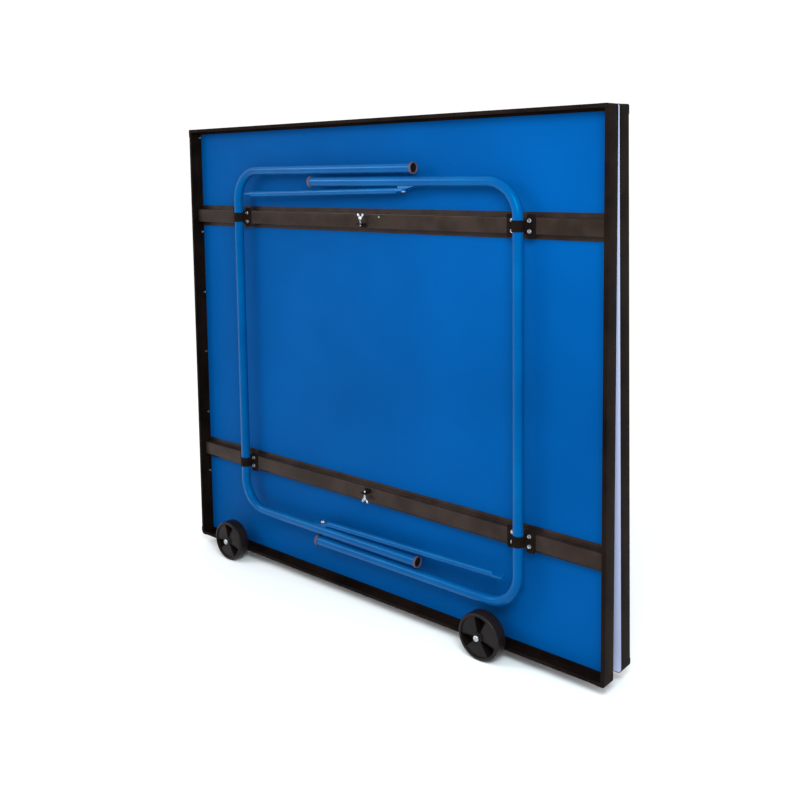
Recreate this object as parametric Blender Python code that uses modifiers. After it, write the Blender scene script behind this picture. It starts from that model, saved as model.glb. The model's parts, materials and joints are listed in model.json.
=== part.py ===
# Folding table tennis table in its storage position: two half tables stand on edge on their
# wheels, playing faces together, and lean lightly against each other.
#
# Each half is first laid out in its own frame: x along the long edge from its middle, y from the
# open side of the frame (0) to the playing face, z up from the lower edge. An empty then leans
# the half and stands it on the floor. The second half is the first turned round by 180 degrees.
import math

import bmesh
import bpy
from mathutils import Matrix, Vector

# Driving dimensions, metres
LONG_EDGE = 1.525           # table width, which lies along the floor in storage
SHORT_EDGE = 1.370          # half the playing length
DEPTH = 0.044               # edge frame and board together
PLAYING_HEIGHT = 0.760      # playing face above the floor when the legs are down
GAP = 0.0003                # air left between pieces that touch
SHEET = 0.0015              # folded steel sheet of the frame

BOARD_THICKNESS = 0.006
LIP_WIDTH = 0.010           # apron edge on the open side
FLANGE_WIDTH = 0.016        # apron flange under the board
MITRE_SHORTENING = 0.00025  # taken off both ends of every apron

RAIL_HEIGHTS = (0.300, 1.088)
RAIL_WEB_WIDTH = 0.041
RAIL_FLANGE_WIDTH = 0.013
RAIL_DEPTH = 0.0225

TUBE_RADIUS = 0.014
TUBE_WALL = 0.0015
BEND_RADIUS = 0.090
BEND_STEPS = 7
LEG_SPAN = 1.077            # between the axes of a leg's two arms
PIVOT_X = 0.521             # pivot axis from the middle of the half
PIVOT_Y = 0.001
LEG_MIDDLE = {"left": 0.6945, "right": 0.659}    # the right leg sits lower, so the arms nest
LEG_SWING = math.radians(90)

CAP_RADIUS = 0.017
CAP_LENGTH = 0.025
CAP_END = 0.004
CAP_CHAMFER = 0.0015
CAP_CLEARANCE = 0.0004

SADDLE_SHEET = 0.002
SADDLE_CLEARANCE = 0.0006
SADDLE_HALF_WIDTH = 0.033
SADDLE_HEIGHT = 0.040
SADDLE_ARC_STEPS = 10

BRACE_LENGTH = 0.640        # between the eye on the leg and the notch for the wing bolt
BRACE_RADIUS = 0.009
BRACE_END_RADIUS = 0.009    # rounded tip of the flattened end
BRACE_FLAT = 0.004          # thickness of the flattened end
BRACE_FLAT_LENGTH = 0.020
BRACE_TAPER = 0.030
BRACE_OFFSET = 0.024        # brace axis beside the arm axis
BRACE_SLOPE = math.radians(1.2)
BRACE_SIDES = 12
EYE_RADIUS = 0.0041

LUG_LENGTH = 0.030
LUG_WIDTH = 0.018
BORE_END = 0.0013           # metal left between the lug's bore and the inside of the tube
CUT_THROUGH = 0.020         # length of cutters that only have to pass right through
PIVOT_BOLT_RADIUS = 0.0038
PIVOT_BOLT_HEAD = (0.0075, 0.004)   # radius, height
PIVOT_BOLT_TIP = 0.002              # tip to the arm's surface

TAB_SHEET = 0.0025
TAB_WIDTH = 0.020
TAB_REACH = 0.008           # tab edge beyond the wing bolt axis
TAB_FOOT = 0.012
TAB_OFFSET = 0.007          # tab face past the middle of its rail, seen from the arm
WING_BOLT_Y = 0.0022
WING_BOLT_RADIUS = 0.003
BRACE_SEAT = 0.0065         # middle of the brace end above the tab
NOTCH_WIDTH = 0.0080
NOTCH_LENGTH = 0.020
WING_BOLT_STEM = 0.0118     # bare shank between tab and hub, where the brace end goes
WING_BOLT_TAIL = 0.005      # shank past the tab
HUB_RADIUS = 0.0065
HUB_HEIGHT = 0.009
WING_SPREAD = 0.0125
WING_RISE = 0.016
WING_TIP_RADIUS = 0.005
WING_SHEET = 0.0024
WING_ROOT = 0.003           # lower edge of the wings above the hub's foot

WHEEL_RADIUS = 0.0625
WHEEL_WIDTH = 0.038
WHEEL_BORE = 0.0054
WHEEL_EDGE = 0.002          # chamfer of the tread
WHEEL_DISH = 0.004          # faces set back between hub and rim
WHEEL_RIM = 0.009           # tread surface to the dish
WHEEL_HUB = 0.013
WHEEL_POCKETS = 3
POCKET_START = 83           # degrees
POCKET_HALF = 21            # half the angle of one wedge, degrees
POCKET_INNER = 0.018
POCKET_RIM = 0.004          # wall between a pocket and the dish's outer edge
POCKET_FLOOR = 0.008
WHEEL_X = {"left": -0.572, "right": 0.427}
AXLE_HEIGHT = 0.033         # above the lower edge of the half
AXLE_RADIUS = 0.005
AXLE_HEAD = (0.008, 0.003)  # radius and height of the head behind the plate
AXLE_END_GAP = 0.001        # wheel face to the domed end
DOME_RADIUS = 0.0085
DOME_COLLAR = 0.005
DOME_RISE = 0.6             # dome height over its radius
MOUNT_SHEET = 0.003
MOUNT_WIDTH = 0.056
MOUNT_HEIGHT = 0.056
MOUNT_CORNER = 0.016
MOUNT_FOOT = 0.034
WHEEL_STANDOFF = 0.003

TOP_GAP = 0.007             # between the playing faces
BOTTOM_GAP = 0.042
WHEEL_STEPS = 28            # sides of a turned piece, by its size
CAP_STEPS = 16
BOLT_STEPS = 12

BOARD_BACK = DEPTH - BOARD_THICKNESS
FLANGE_FRONT = BOARD_BACK - GAP - SHEET
RAIL_FRONT = BOARD_BACK - RAIL_DEPTH
LEG_LENGTH = PLAYING_HEIGHT - (DEPTH - PIVOT_Y)
LEAN = math.asin((BOTTOM_GAP - TOP_GAP) / 2 / SHORT_EDGE)
WHEEL_BACK = -(GAP + MOUNT_SHEET + WHEEL_STANDOFF)
SIDES = {"left": -1, "right": 1}


# Scene, materials and small helpers

def clear_scene():
    for old in list(bpy.data.objects):
        bpy.data.objects.remove(old, do_unlink=True)


def add_collection(name):
    collection = bpy.data.collections.new(name)
    bpy.context.scene.collection.children.link(collection)
    return collection


def add_material(name, colour, roughness, metallic=0.0):
    material = bpy.data.materials.new(name)
    material.use_nodes = True
    shader = material.node_tree.nodes["Principled BSDF"]
    shader.inputs["Base Color"].default_value = (*colour, 1)
    shader.inputs["Roughness"].default_value = roughness
    shader.inputs["Metallic"].default_value = metallic
    return material


clear_scene()
table = add_collection("table_tennis_table")
cutters = add_collection("cutters")

board_blue = add_material("board_blue_laminate", (0.0, 0.115, 0.42), 0.45)
tube_blue = add_material("blue_powder_coat", (0.0, 0.09, 0.31), 0.35)
frame_black = add_material("black_powder_coat", (0.016, 0.013, 0.011), 0.55)
cap_black = add_material("black_polyethylene", (0.012, 0.011, 0.011), 0.6)
wheel_black = add_material("black_wheel_plastic", (0.015, 0.013, 0.012), 0.5)
zinc = add_material("bright_zinc", (0.62, 0.62, 0.64), 0.3, 1.0)


def add_empty(name, parent, matrix):
    empty = bpy.data.objects.new(name, None)
    table.objects.link(empty)
    empty.parent = parent
    empty.matrix_local = matrix
    return empty


def add_part(name, mesh, material, parent, matrix):
    mesh.name = name
    part = bpy.data.objects.new(name, mesh)
    table.objects.link(part)
    mesh.materials.clear()
    mesh.materials.append(material)
    part.parent = parent
    part.matrix_local = matrix
    return part


def add_cutter(name, mesh, parent, matrix):
    cutter = bpy.data.objects.new(name, mesh)
    cutters.objects.link(cutter)
    cutter.hide_render = True
    cutter.display_type = "WIRE"
    cutter.parent = parent
    cutter.matrix_local = matrix
    return cutter


def add_boolean(part, other, operation="DIFFERENCE"):
    boolean = part.modifiers.new(other.name, "BOOLEAN")
    boolean.operation = operation
    boolean.solver = "EXACT"
    boolean.object = other


def shade_round(mesh, sharp_angle=40):
    mesh.shade_smooth()
    mesh.set_sharp_from_angle(angle=math.radians(sharp_angle))


def mesh_of_curve(curve):
    holder = bpy.data.objects.new("holder", curve)
    bpy.context.scene.collection.objects.link(holder)
    evaluated = holder.evaluated_get(bpy.context.evaluated_depsgraph_get())
    mesh = bpy.data.meshes.new_from_object(evaluated)
    bpy.data.objects.remove(holder)
    bm = bmesh.new()
    bm.from_mesh(mesh)
    bmesh.ops.remove_doubles(bm, verts=bm.verts, dist=0.00001)
    bm.to_mesh(mesh)
    bm.free()
    return mesh


def add_spline(curve, points, closed):
    spline = curve.splines.new("POLY")
    spline.points.add(len(points) - 1)
    for point, place in zip(spline.points, points):
        point.co = (*place, 1)
    spline.use_cyclic_u = closed


def flat_solid(outlines, thickness):
    """Flat outlines in XY, made a solid that is centred on z = 0."""
    curve = bpy.data.curves.new("outline", "CURVE")
    curve.dimensions = "2D"
    curve.fill_mode = "BOTH"
    curve.extrude = thickness / 2
    for outline in outlines:
        add_spline(curve, [(x, y, 0) for x, y in outline], True)
    return mesh_of_curve(curve)


def open_tube(points, radius):
    curve = bpy.data.curves.new("tube", "CURVE")
    curve.dimensions = "3D"
    curve.bevel_depth = radius
    curve.bevel_resolution = 4
    add_spline(curve, points, False)
    return mesh_of_curve(curve)


def box(size_x, size_y, size_z):
    mesh = bpy.data.meshes.new("box")
    bm = bmesh.new()
    bmesh.ops.create_cube(bm, size=1)
    bmesh.ops.scale(bm, verts=bm.verts, vec=(size_x, size_y, size_z))
    bm.to_mesh(mesh)
    bm.free()
    return mesh


def rod(radius, length):
    mesh = bpy.data.meshes.new("rod")
    bm = bmesh.new()
    bmesh.ops.create_cone(bm, cap_ends=True, segments=BOLT_STEPS, radius1=radius,
                          radius2=radius, depth=length)
    bm.to_mesh(mesh)
    bm.free()
    return mesh


def profile_mesh(profile, closed):
    """Edges of a profile of (radius, z) points at +X, for a Screw modifier about z."""
    mesh = bpy.data.meshes.new("profile")
    count = len(profile)
    edges = [(i, (i + 1) % count) for i in range(count if closed else count - 1)]
    mesh.from_pydata([(radius, 0, z) for radius, z in profile], edges, [])
    return mesh


def add_screw(part, steps):
    screw = part.modifiers.new("turned", "SCREW")
    screw.steps = steps
    screw.render_steps = steps
    screw.use_merge_vertices = True
    screw.merge_threshold = 0.00001
    screw.use_smooth_shade = True


def arc(centre, radius, start, end, steps):
    turns = [math.radians(start + (end - start) * i / steps) for i in range(steps + 1)]
    return [(centre[0] + radius * math.cos(a), centre[1] + radius * math.sin(a)) for a in turns]


def axes(x_axis, y_axis, z_axis, place):
    """Matrix that lays a part's own axes along the three given directions."""
    rows = [[*row] for row in zip(x_axis, y_axis, z_axis)]
    return Matrix.Translation(place) @ Matrix(rows).to_4x4()


# Board and steel frame

def add_board(half, parent):
    inset = SHEET + GAP
    mesh = box(LONG_EDGE - 2 * inset, BOARD_THICKNESS, SHORT_EDGE - 2 * inset)
    middle = Vector((0, BOARD_BACK + BOARD_THICKNESS / 2, SHORT_EDGE / 2))
    add_part(f"{half}_board", mesh, board_blue, parent, Matrix.Translation(middle))


def apron_outline():
    """Folded channel as (inward, depth): lip, web on the outside, flange under the board."""
    flange_back = FLANGE_FRONT + SHEET
    return [(0, 0), (LIP_WIDTH, 0), (LIP_WIDTH, SHEET), (SHEET, SHEET), (SHEET, FLANGE_FRONT),
            (FLANGE_WIDTH, FLANGE_FRONT), (FLANGE_WIDTH, flange_back), (SHEET, flange_back),
            (SHEET, DEPTH), (0, DEPTH)]


def apron_mesh(length):
    """Channel along its own z, with x inward; both ends are cut back by x for the mitre."""
    mesh = flat_solid([apron_outline()], length - 2 * MITRE_SHORTENING)
    for vertex in mesh.vertices:
        vertex.co.z -= math.copysign(vertex.co.x, vertex.co.z)
    return mesh


def add_aprons(half, parent):
    depth = Vector((0, 1, 0))
    sides = {
        "bottom": ((0, 0, 1), (0, 0, 0), LONG_EDGE),
        "top": ((0, 0, -1), (0, 0, SHORT_EDGE), LONG_EDGE),
        "left": ((1, 0, 0), (-LONG_EDGE / 2, 0, SHORT_EDGE / 2), SHORT_EDGE),
        "right": ((-1, 0, 0), (LONG_EDGE / 2, 0, SHORT_EDGE / 2), SHORT_EDGE),
    }
    for side, (inward, place, length) in sides.items():
        inward = Vector(inward)
        matrix = axes(inward, depth, inward.cross(depth), place)
        add_part(f"{half}_apron_{side}", apron_mesh(length), frame_black, parent, matrix)


def rail_outline():
    """Hat section as (across, depth), symmetric about the middle of the web."""
    web = RAIL_WEB_WIDTH / 2
    brim = web + RAIL_FLANGE_WIDTH
    back = FLANGE_FRONT + SHEET
    outer = [(brim, back), (brim, FLANGE_FRONT), (web, FLANGE_FRONT), (web, RAIL_FRONT)]
    inner = [(web - SHEET, back), (web - SHEET, RAIL_FRONT + SHEET)]
    left_outer = [(-x, y) for x, y in reversed(outer)]
    left_inner = [(-x, y) for x, y in inner]
    return outer + left_outer + left_inner + inner[::-1]


def add_rails(half, parent):
    length = LONG_EDGE - 2 * (FLANGE_WIDTH + GAP)
    for name, height in zip(("lower", "upper"), RAIL_HEIGHTS):
        matrix = axes((0, 0, 1), (0, 1, 0), (-1, 0, 0), (0, 0, height))
        add_part(f"{half}_rail_{name}", flat_solid([rail_outline()], length), frame_black,
                 parent, matrix)


def saddle_outline():
    """Omega strap round the pivot tube, as (across, depth) from the pivot axis."""
    inner = TUBE_RADIUS + SADDLE_CLEARANCE
    outer = inner + SADDLE_SHEET
    back = RAIL_FRONT - GAP - PIVOT_Y
    front = back - SADDLE_SHEET
    foot = SADDLE_HALF_WIDTH
    over = arc((0, 0), outer, 180, 360, SADDLE_ARC_STEPS)
    under = arc((0, 0), inner, 360, 180, SADDLE_ARC_STEPS)
    return ([(-foot, back), (-foot, front), (-outer, front)] + over
            + [(outer, front), (foot, front), (foot, back), (inner, back)] + under
            + [(-inner, back)])


def add_saddles(half, parent):
    for side, sign in SIDES.items():
        for name, height in zip(("lower", "upper"), RAIL_HEIGHTS):
            mesh = flat_solid([saddle_outline()], SADDLE_HEIGHT)
            shade_round(mesh)
            place = Matrix.Translation((sign * PIVOT_X, PIVOT_Y, height))
            add_part(f"{half}_saddle_{side}_{name}", mesh, frame_black, parent, place)


# Brace mechanism. A brace hangs on a lug under its leg's arm. It lies beside the arm while the
# leg is folded, and its notch comes round the wing bolt on the rail as the leg reaches 90 degrees.

def brace_arm(side):
    """Height of the arm that carries the brace, and the way from there to its rail."""
    if side == "left":
        return LEG_MIDDLE[side] - LEG_SPAN / 2, RAIL_HEIGHTS[0], 1
    return LEG_MIDDLE[side] + LEG_SPAN / 2, RAIL_HEIGHTS[1], -1


def brace_layout(side):
    """Points and directions of one brace in the half's frame, leg folded."""
    sign = SIDES[side]
    arm_height, rail_height, to_rail = brace_arm(side)
    tab_face = rail_height + to_rail * TAB_OFFSET
    pivot = Vector((sign * PIVOT_X, PIVOT_Y, 0))
    along_arm = Vector((-sign, 0, 0))
    eye_height = arm_height + to_rail * BRACE_OFFSET
    catch = Vector((0, WING_BOLT_Y, tab_face - to_rail * BRACE_SEAT))
    # With the leg down, eye and catch are PIVOT_X apart in x, which leaves the arm's share.
    rise = catch.z - eye_height
    reach = math.sqrt(BRACE_LENGTH ** 2 - PIVOT_X ** 2 - rise ** 2)
    eye = pivot + along_arm * (reach - (catch.y - pivot.y))
    eye.z = eye_height
    folded = along_arm * math.cos(BRACE_SLOPE) + Vector((0, 0, to_rail * math.sin(BRACE_SLOPE)))
    leg_turn = Matrix.Rotation(sign * LEG_SWING, 3, "Z")
    catch_on_leg = pivot + leg_turn.inverted() @ (catch - pivot)
    open_way = (catch_on_leg - eye).normalized()
    axis = folded.cross(open_way).normalized()
    swing = math.atan2(folded.cross(open_way).length, folded.dot(open_way))
    return {"pivot": pivot, "eye": eye, "folded": folded, "axis": axis, "swing": swing,
            "catch": catch, "to_rail": to_rail, "tab_face": tab_face, "sign": sign}


def notch_way(layout):
    """Way in which the brace end reaches the bolt, in the brace's folded position."""
    sign, pivot = layout["sign"], layout["pivot"]

    def brace_end(share):
        turn = Matrix.Rotation(layout["swing"] * share, 3, layout["axis"])
        on_leg = layout["eye"] + turn @ layout["folded"] * BRACE_LENGTH
        return pivot + Matrix.Rotation(sign * LEG_SWING * share, 3, "Z") @ (on_leg - pivot)

    way = brace_end(1.0) - brace_end(0.99)
    way = Matrix.Rotation(-sign * LEG_SWING, 3, "Z") @ way
    way = Matrix.Rotation(-layout["swing"], 3, layout["axis"]) @ way
    return (way - way.project(layout["axis"])).normalized()


def brace_frame(layout):
    """Brace axes: x along the brace, z towards the arm, from its eye."""
    up = layout["axis"] if layout["axis"].z * layout["to_rail"] < 0 else -layout["axis"]
    return axes(layout["folded"], up.cross(layout["folded"]), up, layout["eye"])


def brace_section(x, half_width, half_height, power):
    """Ring of a super-ellipse: power 2 is round, a high power is nearly a rectangle."""
    ring = []
    for i in range(BRACE_SIDES):
        turn = 2 * math.pi * i / BRACE_SIDES
        cos, sin = math.cos(turn), math.sin(turn)
        ring.append((x, half_width * math.copysign(abs(cos) ** (2 / power), cos),
                     half_height * math.copysign(abs(sin) ** (2 / power), sin)))
    return ring


def brace_mesh():
    """Round tube with flattened, rounded ends: a loft through super-ellipse sections."""
    half_flat = BRACE_FLAT / 2
    sections = []
    for degrees in (14, 40, 65, 90):
        turn = math.radians(degrees)
        sections.append((-BRACE_END_RADIUS * math.cos(turn), BRACE_END_RADIUS * math.sin(turn),
                         half_flat, 8))
    sections.append((BRACE_FLAT_LENGTH, BRACE_END_RADIUS, half_flat, 8))
    for share in (0.25, 0.5, 0.75, 1.0):
        ease = share * share * (3 - 2 * share)
        sections.append((BRACE_FLAT_LENGTH + share * BRACE_TAPER,
                         BRACE_END_RADIUS + ease * (BRACE_RADIUS - BRACE_END_RADIUS),
                         half_flat + ease * (BRACE_RADIUS - half_flat), 8 - 6 * ease))
    sections += [(BRACE_LENGTH - x, *rest) for x, *rest in reversed(sections)]
    bm = bmesh.new()
    rings = [[bm.verts.new(p) for p in brace_section(*section)] for section in sections]
    for ring, following in zip(rings, rings[1:]):
        for i in range(BRACE_SIDES):
            j = (i + 1) % BRACE_SIDES
            bm.faces.new((ring[i], ring[j], following[j], following[i]))
    bm.faces.new(rings[0][::-1])
    bm.faces.new(rings[-1])
    bmesh.ops.recalc_face_normals(bm, faces=bm.faces)
    mesh = bpy.data.meshes.new("brace")
    bm.to_mesh(mesh)
    bm.free()
    shade_round(mesh)
    return mesh


def add_brace(half, side, layout, leg_frame, leg_matrix):
    frame = leg_matrix.inverted() @ brace_frame(layout)
    brace = add_part(f"{half}_{side}_brace", brace_mesh(), tube_blue, leg_frame, frame)
    eye = add_cutter(f"{brace.name}_eye", rod(EYE_RADIUS, CUT_THROUGH), leg_frame, frame)
    add_boolean(brace, eye)
    # The notch is a slot from the bolt's place out through the edge of the flattened end.
    way = brace_frame(layout).to_3x3().inverted() @ notch_way(layout)
    half_slot = NOTCH_WIDTH / 2
    slot = arc((0, 0), half_slot, 90, 270, 8) + [(NOTCH_LENGTH, -half_slot),
                                                  (NOTCH_LENGTH, half_slot)]
    turn = Matrix.Rotation(math.atan2(way.y, way.x), 4, "Z")
    place = frame @ Matrix.Translation((BRACE_LENGTH, 0, 0)) @ turn
    notch = add_cutter(f"{brace.name}_notch", flat_solid([slot], CUT_THROUGH), leg_frame,
                       place)
    add_boolean(brace, notch)


def add_pivot_bolt(half, side, layout, leg_frame, leg_matrix):
    """Button-headed bolt up through the brace eye into the lug."""
    frame = leg_matrix.inverted() @ brace_frame(layout)
    head_radius, head_height = PIVOT_BOLT_HEAD
    seat = -BRACE_FLAT / 2 - GAP
    tip = BRACE_OFFSET - TUBE_RADIUS - PIVOT_BOLT_TIP
    dome = [(head_radius * math.cos(a), seat - head_height * math.sin(a))
            for a in (math.radians(18 * i) for i in range(1, 5))]
    profile = [(0, tip), (PIVOT_BOLT_RADIUS, tip), (PIVOT_BOLT_RADIUS, seat),
               (head_radius, seat)] + dome + [(0, seat - head_height)]
    bolt = add_part(f"{half}_{side}_pivot_bolt", profile_mesh(profile, False), zinc,
                    leg_frame, frame)
    add_screw(bolt, BOLT_STEPS)


# Legs

def leg_path(side):
    """U of one leg from its pivot axis: along one arm, up the pivot tube, along the other."""
    way = -SIDES[side]
    end = LEG_LENGTH - CAP_END - GAP
    half_span = LEG_SPAN / 2
    corner = half_span - BEND_RADIUS
    bend = arc((BEND_RADIUS, -corner), BEND_RADIUS, 270, 180, BEND_STEPS)
    lower = [(end, -half_span)] + bend
    return [(way * x, 0, z) for x, z in lower + [(x, -z) for x, z in reversed(lower)]]


def add_leg(half, side, parent):
    sign = SIDES[side]
    leg_matrix = Matrix.Translation((sign * PIVOT_X, PIVOT_Y, LEG_MIDDLE[side]))
    leg_frame = add_empty(f"{half}_{side}_leg_pivot", parent, leg_matrix)
    mesh = open_tube(leg_path(side), TUBE_RADIUS)
    shade_round(mesh)
    leg = add_part(f"{half}_{side}_leg", mesh, tube_blue, leg_frame, Matrix())
    wall = leg.modifiers.new("wall", "SOLIDIFY")
    wall.thickness = TUBE_WALL
    wall.offset = -1

    layout = brace_layout(side)
    frame = leg_matrix.inverted() @ brace_frame(layout)
    lug_bottom = BRACE_FLAT / 2 + GAP
    lug_top = BRACE_OFFSET - TUBE_RADIUS + TUBE_WALL / 2
    lug_place = Matrix.Translation((0, 0, (lug_bottom + lug_top) / 2))
    lug = add_cutter(f"{leg.name}_lug", box(LUG_LENGTH, LUG_WIDTH, lug_top - lug_bottom),
                     leg_frame, frame @ lug_place)
    add_boolean(leg, lug, "UNION")
    bore_top = BRACE_OFFSET - TUBE_RADIUS - BORE_END
    bore = add_cutter(f"{leg.name}_bore", rod(EYE_RADIUS, 2 * bore_top), leg_frame, frame)
    add_boolean(leg, bore)

    add_foot_caps(half, side, leg_frame)
    add_pivot_bolt(half, side, layout, leg_frame, leg_matrix)
    add_brace(half, side, layout, leg_frame, leg_matrix)
    add_catch(half, side, layout, parent)


def add_foot_caps(half, side, leg_frame):
    """Plastic cup over each tube end, its flat end LEG_LENGTH from the pivot axis."""
    inner = TUBE_RADIUS + CAP_CLEARANCE
    profile = [(0, CAP_LENGTH), (CAP_RADIUS - CAP_CHAMFER, CAP_LENGTH),
               (CAP_RADIUS, CAP_LENGTH - CAP_CHAMFER), (CAP_RADIUS, 0), (inner, 0),
               (inner, CAP_LENGTH - CAP_END), (0, CAP_LENGTH - CAP_END)]
    along = Vector((-SIDES[side], 0, 0))
    for name, height in (("lower", -LEG_SPAN / 2), ("upper", LEG_SPAN / 2)):
        place = along * (LEG_LENGTH - CAP_LENGTH) + Vector((0, 0, height))
        matrix = axes((0, 0, 1), along.cross((0, 0, 1)), along, place)
        cap = add_part(f"{half}_{side}_foot_{name}", profile_mesh(profile, False), cap_black,
                       leg_frame, matrix)
        add_screw(cap, CAP_STEPS)


# Wing bolt and the tab that it screws into

def add_catch(half, side, layout, parent):
    """Angle tab welded on the rail web, with the wing bolt through it."""
    outward = -layout["to_rail"]
    face = layout["tab_face"]
    back = RAIL_FRONT - GAP
    front = WING_BOLT_Y - TAB_REACH
    outline = [(front, 0), (back, 0), (back, -TAB_FOOT), (back - TAB_SHEET, -TAB_FOOT),
               (back - TAB_SHEET, -TAB_SHEET), (front, -TAB_SHEET)]
    # The outline's own x is depth and its y is outward from the rail's middle.
    up = Vector((0, 0, outward))
    depth = Vector((0, 1, 0))
    across = depth.cross(up)
    matrix = axes(depth, up, across, (0, 0, face))
    tab = add_part(f"{half}_{side}_brace_tab", flat_solid([outline], TAB_WIDTH), frame_black,
                   parent, matrix)
    bolt_matrix = axes(across, up.cross(across), up, (0, WING_BOLT_Y, face))
    hole = add_cutter(f"{tab.name}_hole", rod(WING_BOLT_RADIUS + GAP, CUT_THROUGH), parent,
                      bolt_matrix)
    add_boolean(tab, hole)

    base = WING_BOLT_STEM
    tip = -TAB_SHEET - WING_BOLT_TAIL
    profile = [(0, base + HUB_HEIGHT), (HUB_RADIUS * 0.75, base + HUB_HEIGHT),
               (HUB_RADIUS, base), (WING_BOLT_RADIUS, base), (WING_BOLT_RADIUS, tip), (0, tip)]
    bolt = add_part(f"{half}_{side}_wing_bolt", profile_mesh(profile, False), zinc, parent,
                    bolt_matrix)
    add_screw(bolt, BOLT_STEPS)
    right = [(0, WING_ROOT), (HUB_RADIUS * 0.9, WING_ROOT)] + arc(
        (WING_SPREAD - WING_TIP_RADIUS, WING_RISE - WING_TIP_RADIUS), WING_TIP_RADIUS,
        -30, 150, 8) + [(0, HUB_HEIGHT * 0.9)]
    wings = right + [(-x, y) for x, y in reversed(right[1:-1])]
    wing_place = bolt_matrix @ Matrix.Translation((0, 0, base)) @ Matrix.Rotation(
        math.radians(90), 4, "X")
    wing = add_cutter(f"{bolt.name}_wings", flat_solid([wings], WING_SHEET), parent, wing_place)
    add_boolean(bolt, wing, "UNION")


# Wheels

def add_wheel(half, side, parent):
    """Plastic wheel on its mount, a bent plate with the axle riveted into it."""
    outward = Vector((0, -1, 0))
    across = Vector((1, 0, 0))
    hub = Vector((WHEEL_X[side], WHEEL_BACK, AXLE_HEIGHT))
    wheel_matrix = axes(across, outward.cross(across), outward, hub)
    edge, dish = WHEEL_EDGE, WHEEL_DISH
    rim = WHEEL_RADIUS - edge
    face_rim = WHEEL_RADIUS - WHEEL_RIM
    front = [(WHEEL_HUB, 0), (WHEEL_HUB + edge, -dish), (face_rim, -dish), (face_rim + edge, 0),
             (rim, 0), (WHEEL_RADIUS, -edge)]
    back = [(radius, -z) for radius, z in reversed(front)]
    profile = [(radius, WHEEL_WIDTH + z) for radius, z in front] + back + [
        (WHEEL_BORE, 0), (WHEEL_BORE, WHEEL_WIDTH)]
    wheel = add_part(f"{half}_wheel_{side}", profile_mesh(profile, True), wheel_black, parent,
                     wheel_matrix)
    add_screw(wheel, WHEEL_STEPS)
    pockets = add_cutter(f"{wheel.name}_pockets", wheel_pockets(face_rim), parent,
                         wheel_matrix @ Matrix.Translation((0, 0, WHEEL_WIDTH)))
    add_boolean(wheel, pockets)
    add_wheel_mount(half, side, parent, hub)


def wheel_pockets(face_rim):
    """Three wedge outlines, cut most of the way through the wheel."""
    inner, outer = POCKET_INNER, face_rim - POCKET_RIM
    step = 360 / WHEEL_POCKETS
    outlines = []
    for i in range(WHEEL_POCKETS):
        low = POCKET_START + step * i - POCKET_HALF
        high = low + 2 * POCKET_HALF
        outlines.append(arc((0, 0), outer, low, high, 4) + arc((0, 0), inner, high, low, 2))
    return flat_solid(outlines, 2 * (WHEEL_WIDTH - POCKET_FLOOR))


def add_wheel_mount(half, side, parent, hub):
    """Plate before the lip with a foot under the lower apron; the axle is one with it."""
    front = -GAP - MOUNT_SHEET
    under = -GAP - MOUNT_SHEET
    outline = [(front, under), (MOUNT_FOOT, under), (MOUNT_FOOT, -GAP), (-GAP, -GAP),
               (-GAP, MOUNT_HEIGHT), (front, MOUNT_HEIGHT)]
    matrix = axes((0, 1, 0), (0, 0, 1), (1, 0, 0), (WHEEL_X[side], 0, 0))
    mesh = flat_solid([outline], MOUNT_WIDTH)
    round_corners(mesh, MOUNT_HEIGHT, MOUNT_CORNER)
    mount = add_part(f"{half}_wheel_mount_{side}", mesh, frame_black, parent, matrix)
    axle_matrix = axes((1, 0, 0), (0, 0, 1), (0, -1, 0), (hub.x, 0, hub.z))
    end = -WHEEL_BACK + WHEEL_WIDTH + AXLE_END_GAP
    collar = end + DOME_COLLAR
    dome = [(DOME_RADIUS * math.cos(a), collar + DOME_RISE * DOME_RADIUS * math.sin(a))
            for a in (math.radians(90 - 22.5 * i) for i in range(5))]
    dome[0] = (0, dome[0][1])
    head_radius, head_height = AXLE_HEAD
    profile = dome + [(DOME_RADIUS, end), (AXLE_RADIUS, end), (AXLE_RADIUS, GAP + MOUNT_SHEET / 2),
                      (head_radius, GAP + MOUNT_SHEET / 2), (head_radius, -head_height),
                      (0, -head_height)]
    axle = add_cutter(f"{mount.name}_axle", profile_mesh(profile, False), parent, axle_matrix)
    add_screw(axle, CAP_STEPS)
    add_boolean(mount, axle, "UNION")


def round_corners(mesh, height, radius):
    """Round the two upper corners of a mount plate, whose height is its own y."""
    bm = bmesh.new()
    bm.from_mesh(mesh)
    edges = [e for e in bm.edges if all(abs(v.co.y - height) < 1e-5 for v in e.verts)
             and abs(e.verts[0].co.z - e.verts[1].co.z) < 1e-5]
    bmesh.ops.bevel(bm, geom=edges, offset=radius, segments=5, affect="EDGES", profile=0.5)
    bm.to_mesh(mesh)
    bm.free()


# Halves and their place on the floor

def half_matrix():
    """Lean the top towards the other half, and stand the wheels on z = 0."""
    lean = Matrix.Rotation(-LEAN, 4, "X")
    face_foot = lean @ Vector((0, DEPTH, 0))
    # The tread touches the floor along its front edge or its back edge, whichever is lower.
    edges = (lean @ Vector((0, WHEEL_BACK - WHEEL_WIDTH + WHEEL_EDGE, AXLE_HEIGHT)),
              lean @ Vector((0, WHEEL_BACK - WHEEL_EDGE, AXLE_HEIGHT)))
    low = min(edge.z for edge in edges) - WHEEL_RADIUS * math.cos(LEAN)
    return Matrix.Translation((0, -BOTTOM_GAP / 2 - face_foot.y, -low)) @ lean


def add_half(half, turn):
    matrix = Matrix.Rotation(turn, 4, "Z") @ half_matrix()
    parent = add_empty(half, None, matrix)
    add_board(half, parent)
    add_aprons(half, parent)
    add_rails(half, parent)
    add_saddles(half, parent)
    for side in SIDES:
        add_leg(half, side, parent)
        add_wheel(half, side, parent)


add_half("half_a", 0)
add_half("half_b", math.pi)
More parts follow.
